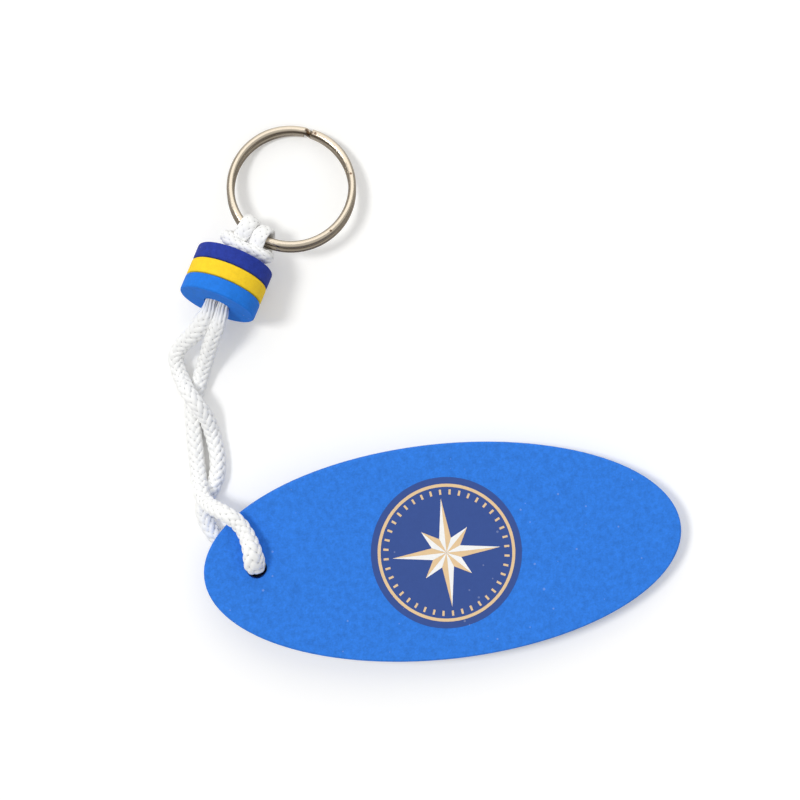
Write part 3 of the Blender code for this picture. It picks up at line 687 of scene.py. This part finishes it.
openness.inputs["To Max"].default_value = 0.22
place = nodes.new("ShaderNodeTexCoord")
from_hole = nodes.new("ShaderNodeVectorMath")
from_hole.operation = "DISTANCE"
from_hole.inputs[1].default_value = UNDER_HOLE
links.new(place.outputs["Object"], from_hole.inputs[0])
outside_painted_shadow = nodes.new("ShaderNodeMapRange")
outside_painted_shadow.inputs["From Min"].default_value = DARK_UNTIL
outside_painted_shadow.inputs["From Max"].default_value = LIGHT_FROM
links.new(from_hole.outputs["Value"], outside_painted_shadow.inputs["Value"])
# The sheet's own colour, with the painted shadow under the float's hole.
sheet = nodes.new("ShaderNodeMix")
sheet.data_type = "RGBA"
sheet.inputs["A"].default_value = (0.05, 0.05, 0.05, 1.0)
sheet.inputs["B"].default_value = (0.86, 0.855, 0.835, 1.0)
opened = nodes.new("ShaderNodeMath")
opened.operation = "MULTIPLY"
links.new(outside_painted_shadow.outputs["Result"], opened.inputs[1])
lift = nodes.new("ShaderNodeMath")
lift.operation = "MULTIPLY"
links.new(open_sky.outputs["AO"], openness.inputs["Value"])
links.new(outside_painted_shadow.outputs["Result"], sheet.inputs["Factor"])
links.new(sheet.outputs["Result"], shader.inputs["Base Color"])
links.new(openness.outputs["Result"], opened.inputs[0])
links.new(opened.outputs["Value"], lift.inputs[0])
links.new(rays.outputs["Is Camera Ray"], lift.inputs[1])
links.new(lift.outputs["Value"], shader.inputs["Emission Strength"])
table_top.data.materials.append(paper)

# A small window lights the table from the left and a wide one from the far side, and the sky fills in. The
# camera sees the sky white, and the metal mirrors one that darkens towards the horizon.
SKY_LEVEL = 0.46
world = bpy.data.worlds.new("studio")
bpy.context.scene.world = world
world.use_nodes = True
nodes, links = world.node_tree.nodes, world.node_tree.links
direction = nodes.new("ShaderNodeTexCoord")
height = nodes.new("ShaderNodeSeparateXYZ")
links.new(direction.outputs["Generated"], height.inputs["Vector"])
mirrored_sky = nodes.new("ShaderNodeMapRange")
mirrored_sky.inputs["From Max"].default_value = 0.8
mirrored_sky.inputs["To Min"].default_value = 0.18
mirrored_sky.inputs["To Max"].default_value = 0.56
links.new(height.outputs["Z"], mirrored_sky.inputs["Value"])
rays = nodes.new("ShaderNodeLightPath")
for_mirrors = nodes.new("ShaderNodeMix")
for_mirrors.inputs["A"].default_value = SKY_LEVEL
links.new(rays.outputs["Is Glossy Ray"], for_mirrors.inputs["Factor"])
links.new(mirrored_sky.outputs["Result"], for_mirrors.inputs["B"])
for_camera = nodes.new("ShaderNodeMix")
for_camera.inputs["B"].default_value = 1.0
links.new(rays.outputs["Is Camera Ray"], for_camera.inputs["Factor"])
links.new(for_mirrors.outputs["Result"], for_camera.inputs["A"])
links.new(for_camera.outputs["Result"], nodes["Background"].inputs["Strength"])
nodes["Background"].inputs["Color"].default_value = (1.0, 1.0, 1.0, 1.0)
for name, towards, energy, width in (
    ("left_window", (-0.53, 0.08, 1.0), 1.33, 14.0),
    ("far_window", (0.12, 1.45, 1.0), 0.90, 75.0),
):
    towards = Vector(towards).normalized()
    bpy.ops.object.light_add(type="SUN", location=towards * 0.6)
    window = bpy.context.object
    window.name = name
    window.rotation_euler = towards.to_track_quat("Z", "Y").to_euler()
    window.data.energy = energy
    window.data.angle = math.radians(width)
